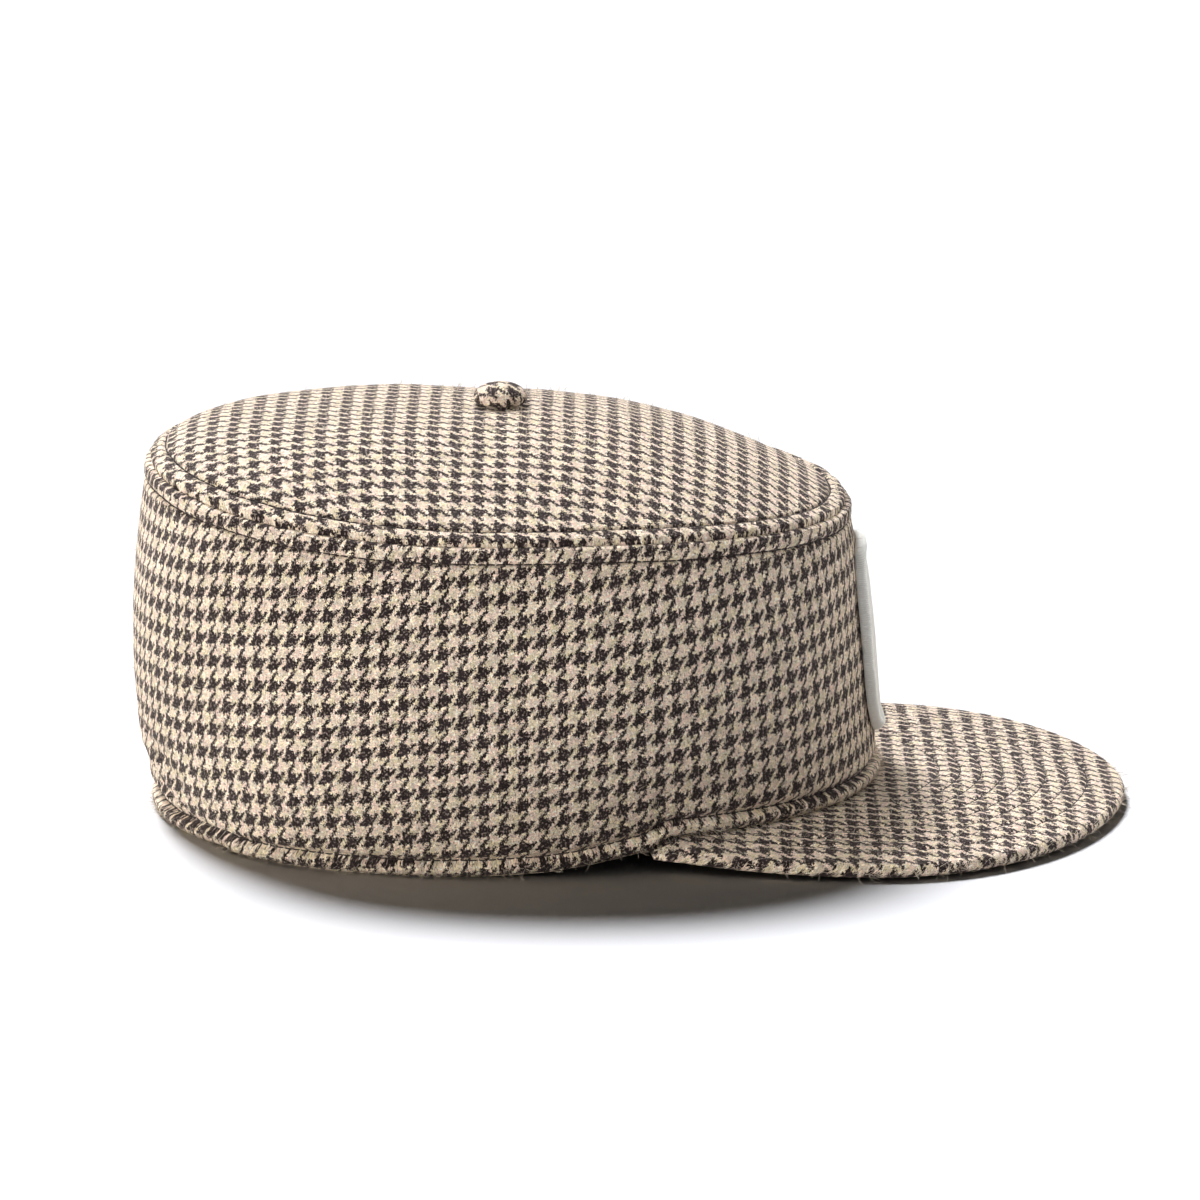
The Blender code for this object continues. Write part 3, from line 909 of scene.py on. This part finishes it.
def fibre_piece(material, peak_parts):
    """Loose ends of wool that stand off the cloth, a third of them along the hem and the peak's edge."""
    draw = random.Random(4)
    seeds = []

    def scatter(skin, count, low, high):
        turn = np.array([[draw.uniform(0.0, math.tau) for _ in range(count)]])
        place = np.array([[draw.uniform(low, high) for _ in range(count)]])
        points, out = skin(turn, place)
        seeds.extend(zip(points[0], out[0]))

    scatter(side_skin, int(FIBRES * 0.34), 0.05, 0.99)
    scatter(side_skin, int(FIBRES * 0.22), 0.006, 0.035)
    scatter(top_skin, int(FIBRES * 0.22), 0.12, 0.99)
    root, edge, thick, top = peak_parts[:4]
    for _ in range(int(FIBRES * 0.22)):
        column = draw.randrange(4, len(top) - 4)
        on_edge = draw.random() < 0.5
        place = draw.randrange(len(top[0]) - 4, len(top[0])) if on_edge else draw.randrange(8, len(top[0]))
        aim = edge[column] - root[column]
        side = np.array((aim[0], aim[1], 0.0)) / np.hypot(aim[0], aim[1])
        if on_edge:
            drop = draw.uniform(0.1, 0.95) * thick[column]
            bulge = math.sqrt(max(0.25 - (drop / thick[column] - 0.5) ** 2, 0.0)) * thick[column]
            point = top[column, -1] + side * bulge - np.array((0.0, 0.0, drop))
            seeds.append((point, side))
        else:
            seeds.append((top[column, place], np.array((0.0, 0.0, 1.0))))
    lines = []
    for point, out in seeds:
        long = draw.uniform(0.3, 1.0) ** 1.8 * FIBRE_LENGTH
        spin = np.array([draw.gauss(0, 1) for _ in range(3)])
        lean = spin - out * (spin @ out)
        lean = lean / (np.linalg.norm(lean) + 1e-9)
        spin = np.array([draw.gauss(0, 1) for _ in range(3)])
        curl = spin / (np.linalg.norm(spin) + 1e-9)
        slope = draw.uniform(0.25, 1.3)
        path = []
        for share, thick_share in ((0.0, 1.0), (0.4, 0.85), (0.75, 0.65), (1.0, 0.3)):
            ahead = (out + lean * slope) / math.hypot(1.0, slope) * share * long
            bend = curl * share * share * long * 0.35
            x, y, z = point - out * 0.15 * MM + ahead + bend
            path.append((x, y, max(z, 0.05 * MM), thick_share))
        lines.append(path)
    return strands("wool_fibres", lines, FIBRE_THICKNESS, 4, material)


# Materials


def feed(tree, node, values):
    for socket, value in zip(node.inputs, values):
        if isinstance(value, bpy.types.NodeSocket):
            tree.links.new(value, socket)
        elif value is not None:
            socket.default_value = value


def maths(tree, operation, *values):
    node = tree.nodes.new("ShaderNodeMath")
    node.operation = operation
    feed(tree, node, values)
    return node.outputs[0]


def vectors(tree, operation, *values):
    node = tree.nodes.new("ShaderNodeVectorMath")
    node.operation = operation
    feed(tree, node, values)
    return node.outputs[0]


def scaled(tree, vector, amount):
    node = tree.nodes.new("ShaderNodeVectorMath")
    node.operation = "SCALE"
    tree.links.new(vector, node.inputs[0])
    node.inputs["Scale"].default_value = amount
    return node.outputs[0]


def mixed(tree, factor, first, second, kind="RGBA", blend_type="MIX"):
    node = tree.nodes.new("ShaderNodeMix")
    node.data_type = kind
    if kind == "RGBA":
        node.blend_type = blend_type
    sockets = {"RGBA": (0, 6, 7, 2), "FLOAT": (0, 2, 3, 0)}[kind]
    for place, value in zip(sockets[:3], (factor, first, second)):
        if isinstance(value, bpy.types.NodeSocket):
            tree.links.new(value, node.inputs[place])
        else:
            node.inputs[place].default_value = value
    return node.outputs[sockets[3]]


def mottle(tree, vector, scale, detail, roughness=0.5):
    """Noise over a vector: its value and its colour."""
    node = tree.nodes.new("ShaderNodeTexNoise")
    tree.links.new(vector, node.inputs["Vector"])
    node.inputs["Scale"].default_value = scale
    node.inputs["Detail"].default_value = detail
    node.inputs["Roughness"].default_value = roughness
    return node.outputs[0], node.outputs[1]


def spread(tree, value, low, high):
    """Stretches the values between low and high to 0 and 1."""
    node = tree.nodes.new("ShaderNodeMapRange")
    tree.links.new(value, node.inputs["Value"])
    node.inputs["From Min"].default_value = low
    node.inputs["From Max"].default_value = high
    return node.outputs[0]


def group(name, ingoing, outgoing):
    """An empty node group with these sockets, and its own input and output nodes."""
    tree = bpy.data.node_groups.new(name, "ShaderNodeTree")
    for label, kind, value in ingoing:
        socket = tree.interface.new_socket(label, in_out="INPUT", socket_type=kind)
        if value is not None:
            socket.default_value = value
    for label, kind in outgoing:
        tree.interface.new_socket(label, in_out="OUTPUT", socket_type=kind)
    return tree, tree.nodes.new("NodeGroupInput"), tree.nodes.new("NodeGroupOutput")


def fibre_group():
    """Fine loose fibres of wool or felt: how much they tint the colour, and their height."""
    tree, given, made = group(
        "Loose fibres",
        [("Place", "NodeSocketVector", None), ("Fineness", "NodeSocketFloat", 1.0)],
        [("Tint", "NodeSocketFloat"), ("Height", "NodeSocketFloat")])
    place = vectors(tree, "SCALE", given.outputs["Place"])
    tree.links.new(given.outputs["Fineness"], place.node.inputs["Scale"])
    swirl = mottle(tree, place, 0.6, 2.0)[1]
    pushed = vectors(tree, "ADD", place, scaled(tree, swirl, 2.2))
    long = vectors(tree, "MULTIPLY", pushed, (0.30, 1.5, 1.0))
    tall = vectors(tree, "MULTIPLY", pushed, (1.5, 0.30, 1.0))
    first = mottle(tree, long, 1.0, 3.0, 0.6)[0]
    second = mottle(tree, tall, 1.0, 3.0, 0.6)[0]
    height = maths(tree, "MAXIMUM", first, second)
    tree.links.new(spread(tree, height, 0.42, 0.72), made.inputs["Tint"])
    tree.links.new(height, made.inputs["Height"])
    return tree


def houndstooth_group():
    """Broken check woven in a two and two twill from four dark and four light yarns each way."""
    tree, given, made = group(
        "Houndstooth weave",
        [("Place", "NodeSocketVector", None)],
        [("Dark", "NodeSocketFloat"), ("Height", "NodeSocketFloat"), ("Yarn", "NodeSocketVector")])
    place = given.outputs["Place"]
    drift = vectors(tree, "SUBTRACT", mottle(tree, place, 0.55, 2.0)[1], (0.5, 0.5, 0.5))
    fray = vectors(tree, "SUBTRACT", mottle(tree, place, 14.0, 1.0)[1], (0.5, 0.5, 0.5))
    moved = vectors(tree, "ADD", place, scaled(tree, drift, 0.22))
    moved = vectors(tree, "ADD", moved, scaled(tree, fray, 0.34))
    yarns = scaled(tree, moved, 8.0)
    split = tree.nodes.new("ShaderNodeSeparateXYZ")
    tree.links.new(yarns, split.inputs[0])
    across, up = split.outputs[0], split.outputs[1]
    column = maths(tree, "FLOOR", across)
    row = maths(tree, "FLOOR", up)
    across = maths(tree, "FRACT", across)
    up = maths(tree, "FRACT", up)
    turn = maths(tree, "FLOORED_MODULO", maths(tree, "SUBTRACT", column, row), 4.0)
    over = maths(tree, "LESS_THAN", turn, 1.5)
    warp_dark = maths(tree, "LESS_THAN", maths(tree, "FLOORED_MODULO", column, 8.0), 3.5)
    weft_dark = maths(tree, "LESS_THAN", maths(tree, "FLOORED_MODULO", row, 8.0), 3.5)
    dark = mixed(tree, over, weft_dark, warp_dark, "FLOAT")
    warp_along = maths(tree, "MULTIPLY", maths(tree, "ADD", maths(tree, "SUBTRACT", 1.0, turn), up), 0.5)
    weft_along = maths(tree, "MULTIPLY", maths(tree, "ADD", maths(tree, "SUBTRACT", turn, 2.0), across), 0.5)
    along = mixed(tree, over, weft_along, warp_along, "FLOAT")
    side = mixed(tree, over, up, across, "FLOAT")

    def arch(share):
        centred = maths(tree, "MULTIPLY_ADD", share, 2.0, -1.0)
        return maths(tree, "SUBTRACT", 1.0, maths(tree, "MULTIPLY", centred, centred))

    roundness = maths(tree, "POWER", arch(side), 0.5)
    hump = maths(tree, "MULTIPLY_ADD", arch(along), 0.45, 0.55)
    height = maths(tree, "MULTIPLY", roundness, hump)
    # Place along each yarn, so that its shade can change from yarn to yarn and slowly along it
    number = mixed(tree, over, maths(tree, "ADD", row, 301.0), column, "FLOAT")
    length = mixed(tree, over, split.outputs[0], split.outputs[1], "FLOAT")
    yarn = tree.nodes.new("ShaderNodeCombineXYZ")
    tree.links.new(maths(tree, "MULTIPLY", number, 3.7), yarn.inputs[0])
    tree.links.new(maths(tree, "MULTIPLY", length, 0.17), yarn.inputs[1])
    tree.links.new(dark, made.inputs["Dark"])
    tree.links.new(height, made.inputs["Height"])
    tree.links.new(yarn.outputs[0], made.inputs["Yarn"])
    return tree


def place_group(tree, source, *values):
    node = tree.nodes.new("ShaderNodeGroup")
    node.node_tree = source
    feed(tree, node, values)
    return node.outputs


def new_material(name, roughness, sheen):
    material = bpy.data.materials.new(name)
    material.use_nodes = True
    surface = material.node_tree.nodes["Principled BSDF"]
    surface.inputs["Roughness"].default_value = roughness
    surface.inputs["Sheen Weight"].default_value = sheen
    surface.inputs["Sheen Roughness"].default_value = 0.5
    surface.inputs["Specular IOR Level"].default_value = 0.25
    return material, material.node_tree, surface


def raised(tree, surface, height, distance, strength=1.0):
    node = tree.nodes.new("ShaderNodeBump")
    node.inputs["Strength"].default_value = strength
    node.inputs["Distance"].default_value = distance
    tree.links.new(height, node.inputs["Height"])
    tree.links.new(node.outputs["Normal"], surface.inputs["Normal"])


DARK_BROWN = (0.007, 0.003, 0.003, 1.0)
CHARCOAL = (0.020, 0.013, 0.015, 1.0)
BROWN_FIBRE = (0.15, 0.09, 0.07, 1.0)
SPECK = (0.44, 0.34, 0.29, 1.0)
CREAM = (0.94, 0.76, 0.55, 1.0)
ROSE_CREAM = (0.90, 0.65, 0.52, 1.0)
OATMEAL = (0.80, 0.66, 0.40, 1.0)
PALE_FIBRE = (1.00, 0.93, 0.80, 1.0)


def wool_material(weave, fibres):
    material, tree, surface = new_material("houndstooth wool", 0.92, 0.14)
    surface.inputs["Sheen Roughness"].default_value = 0.30
    surface.inputs["Sheen Tint"].default_value = (1.0, 0.82, 0.76, 1.0)
    flat = tree.nodes.new("ShaderNodeUVMap")
    flat.uv_map = "cloth"
    dark, height, yarn = place_group(tree, weave, flat.outputs[0])
    tint, fuzz = place_group(tree, fibres, flat.outputs[0], 26.0)
    shade = mottle(tree, yarn, 1.0, 2.0)[0]
    # Slow changes of hue from check to check
    hue = tree.nodes.new("ShaderNodeSeparateColor")
    tree.links.new(mottle(tree, flat.outputs[0], 1.9, 1.0)[1], hue.inputs[0])
    light_colour = mixed(tree, spread(tree, hue.outputs[0], 0.42, 0.58), CREAM, ROSE_CREAM)
    light_colour = mixed(tree, spread(tree, hue.outputs[2], 0.50, 0.64), light_colour, OATMEAL)
    dark_colour = mixed(tree, spread(tree, hue.outputs[1], 0.42, 0.58), DARK_BROWN, CHARCOAL)
    light_colour = mixed(tree, maths(tree, "MULTIPLY", tint, 0.50), light_colour, PALE_FIBRE)
    dark_colour = mixed(tree, maths(tree, "MULTIPLY", tint, 0.15), dark_colour, BROWN_FIBRE)
    # Specks: stray light fibres on the dark yarns and dark ones on the light yarns
    specks = tree.nodes.new("ShaderNodeSeparateColor")
    tree.links.new(mottle(tree, flat.outputs[0], 8.5, 2.0)[1], specks.inputs[0])
    dark_colour = mixed(tree, spread(tree, specks.outputs[0], 0.55, 0.68), dark_colour, SPECK)
    light_colour = mixed(tree, spread(tree, specks.outputs[1], 0.59, 0.72), light_colour, BROWN_FIBRE)
    light_colour = mixed(tree, spread(tree, specks.outputs[2], 0.54, 0.64), light_colour, PALE_FIBRE)
    colour = mixed(tree, dark, light_colour, dark_colour)
    # Painted shade: the gaps between yarns are darkened by the yarns' height, and each yarn's tone varies at
    # random
    depth = maths(tree, "MULTIPLY_ADD", spread(tree, height, 0.0, 0.75), 0.60, 0.40)
    wear = maths(tree, "MULTIPLY_ADD", shade, 1.4, 0.32)
    depth = maths(tree, "MULTIPLY", depth, wear)
    gap_shade_and_yarn_tone = tree.nodes.new("ShaderNodeCombineColor")
    for socket in gap_shade_and_yarn_tone.inputs[:3]:
        tree.links.new(depth, socket)
    # multiplies the painted gap shade and the random yarn tone into the colour
    colour = mixed(tree, 1.0, colour, gap_shade_and_yarn_tone.outputs[0], blend_type="MULTIPLY")
    tree.links.new(colour, surface.inputs["Base Color"])
    raised(tree, surface, maths(tree, "MULTIPLY_ADD", fuzz, 0.5, height), 0.32 * MM, 1.0)
    return material


def felt_material(fibres):
    material, tree, surface = new_material("ivory felt", 0.95, 0.35)
    flat = tree.nodes.new("ShaderNodeUVMap")
    flat.uv_map = "cloth"
    tint, fuzz = place_group(tree, fibres, flat.outputs[0], 14.0)
    cloud = mottle(tree, flat.outputs[0], 1.3, 3.0)[0]
    colour = mixed(tree, spread(tree, cloud, 0.3, 0.7), (0.88, 0.86, 0.79, 1.0), (0.93, 0.91, 0.85, 1.0))
    colour = mixed(tree, maths(tree, "MULTIPLY", tint, 0.5), colour, (0.97, 0.96, 0.92, 1.0))
    tree.links.new(colour, surface.inputs["Base Color"])
    raised(tree, surface, fuzz, 0.55 * MM, 1.0)
    return material


def thread_material(name, low, high, roughness, sheen, scale):
    """Twisted thread, drawn as fine mottling in two near shades."""
    material, tree, surface = new_material(name, roughness, sheen)
    place = tree.nodes.new("ShaderNodeTexCoord").outputs["Object"]
    shade = mottle(tree, place, scale, 3.0, 0.6)[0]
    colour = mixed(tree, spread(tree, shade, 0.3, 0.7), low, high)
    tree.links.new(colour, surface.inputs["Base Color"])
    raised(tree, surface, shade, 0.10 * MM, 0.6)
    return material


def satin_material():
    """Embroidery thread laid side by side, each with fine filaments along it."""
    material, tree, surface = new_material("satin thread", 0.5, 0.15)
    flat = tree.nodes.new("ShaderNodeUVMap")
    flat.uv_map = "cloth"
    along = vectors(tree, "MULTIPLY", flat.outputs[0], (34.0, 3.0, 1.0))
    filament = mottle(tree, along, 1.0, 2.0, 0.6)[0]
    patchy = mottle(tree, vectors(tree, "MULTIPLY", flat.outputs[0], (4.0, 0.6, 1.0)), 1.0, 1.0)[0]
    low, high = (0.80, 0.79, 0.72, 1.0), (0.98, 0.98, 0.93, 1.0)
    colour = mixed(tree, spread(tree, filament, 0.3, 0.7), low, high)
    colour = mixed(tree, maths(tree, "MULTIPLY", patchy, 0.4), colour, (0.90, 0.90, 0.84, 1.0))
    tree.links.new(colour, surface.inputs["Base Color"])
    raised(tree, surface, filament, 0.12 * MM, 0.8)
    return material


def floor_material():
    material, tree, surface = new_material("pale floor", 0.9, 0.0)
    place = tree.nodes.new("ShaderNodeTexCoord").outputs["Object"]
    shade = mottle(tree, place, 3.0, 2.0)[0]
    colour = mixed(tree, shade, (0.85, 0.85, 0.845, 1.0), (0.87, 0.87, 0.865, 1.0))
    tree.links.new(colour, surface.inputs["Base Color"])
    return material


# Studio


def floor_piece():
    mesh = bmesh.new()
    bmesh.ops.create_grid(mesh, x_segments=2, y_segments=2, size=8.0)
    bmesh.ops.translate(mesh, verts=mesh.verts, vec=(0.0, 0.0, -0.05 * MM))
    data = bpy.data.meshes.new("floor")
    mesh.to_mesh(data)
    mesh.free()
    data.materials.append(floor_material())
    floor = bpy.data.objects.new("floor", data)
    bpy.context.scene.collection.objects.link(floor)
    return floor


def lamp(name, towards, width, power, tint, unlit=None):
    """A far soft light. towards points at it from the cap, and width is how many degrees it fills.

    It lights everything but what is in the collection unlit, as a flag in a studio would have it.
    """
    data = bpy.data.lights.new(name, "SUN")
    data.angle = math.radians(width)
    data.energy = power
    data.color = tint
    light = bpy.data.objects.new(name, data)
    light.rotation_euler = Vector(towards).to_track_quat("Z", "Y").to_euler()
    light.light_linking.receiver_collection = unlit
    bpy.context.scene.collection.objects.link(light)


COOL = (0.98, 0.99, 1.04)
WARM = (1.0, 0.97, 0.92)


def studio(floor):
    world = bpy.data.worlds.new("studio")
    world.use_nodes = True
    sky = world.node_tree.nodes["Background"]
    sky.inputs["Color"].default_value = (1.0, 0.995, 0.985, 1.0)
    sky.inputs["Strength"].default_value = 0.03
    scene = bpy.context.scene
    scene.world = world
    scene.view_settings.view_transform = "Standard"
    scene.view_settings.look = "None"
    flagged = bpy.data.collections.new("kept out of the fill lights")
    flagged.objects.link(floor)
    flagged.collection_objects[0].light_linking.link_state = "EXCLUDE"
    lamp("key", (-0.29, 0.59, 0.94), 18.0, 5.1, COOL)
    lamp("low behind", (-0.20, 1.00, 0.35), 40.0, 0.9, COOL, flagged)
    lamp("overhead", (0.10, 0.10, 1.00), 60.0, 0.7, COOL, flagged)
    lamp("rear high", (-0.88, -0.12, 0.50), 40.0, 0.7, WARM, flagged)
    lamp("rear side", (-0.76, -0.65, 0.02), 40.0, 5.2, WARM, flagged)
    lamp("front high", (0.80, 0.55, 0.60), 40.0, 0.9, WARM, flagged)
    lamp("front", (1.00, 0.50, 0.16), 30.0, 0.9, WARM, flagged)


CAMERA_PLACE = (-0.0084, -2.1213, 0.5858)
CAMERA_DOWN = math.radians(14.0)
CAMERA_LENS = 235.29


def camera():
    data = bpy.data.cameras.new("camera")
    data.sensor_width = 36.0
    data.lens = CAMERA_LENS
    data.clip_start = 0.05
    data.clip_end = 50.0
    seen = bpy.data.objects.new("camera", data)
    seen.location = CAMERA_PLACE
    seen.rotation_euler = (math.pi / 2 - CAMERA_DOWN, 0.0, 0.0)
    bpy.context.scene.collection.objects.link(seen)
    bpy.context.scene.camera = seen


def dress(piece, slot, *nodes):
    """Puts a piece on the cap: it rides with it and stands for its nodes, which are hidden. slot is not used.
    """
    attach(piece, "root")
    if nodes:
        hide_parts(*nodes)


def main():
    fibres = fibre_group()
    weave = houndstooth_group()
    wool = wool_material(weave, fibres)
    felt = felt_material(fibres)
    satin = satin_material()
    thread = thread_material("brown thread", (0.012, 0.007, 0.006, 1.0), (0.040, 0.024, 0.019, 1.0),
                             0.6, 0.1, 3000.0)
    fibre = thread_material("wool fibre", (0.42, 0.33, 0.25, 1.0), (0.85, 0.76, 0.62, 1.0),
                            0.8, 0.2, 300.0)
    dress(side_piece(wool), "houndstooth_wool", "side_band")
    dress(top_piece(wool), "houndstooth_wool", "top_panel")
    peak, peak_parts = peak_piece(wool)
    dress(peak, "houndstooth_wool", "peak")
    dress(button_piece(wool), "houndstooth_wool", "top_button")
    dress(felt_piece(felt), "ivory_felt", "front_patch")
    dress(satin_piece(satin), "ivory_felt")
    dress(stitch_piece(thread, peak_parts), "houndstooth_wool")
    dress(fibre_piece(fibre, peak_parts), "houndstooth_wool")
    studio(floor_piece())
    camera()


main()
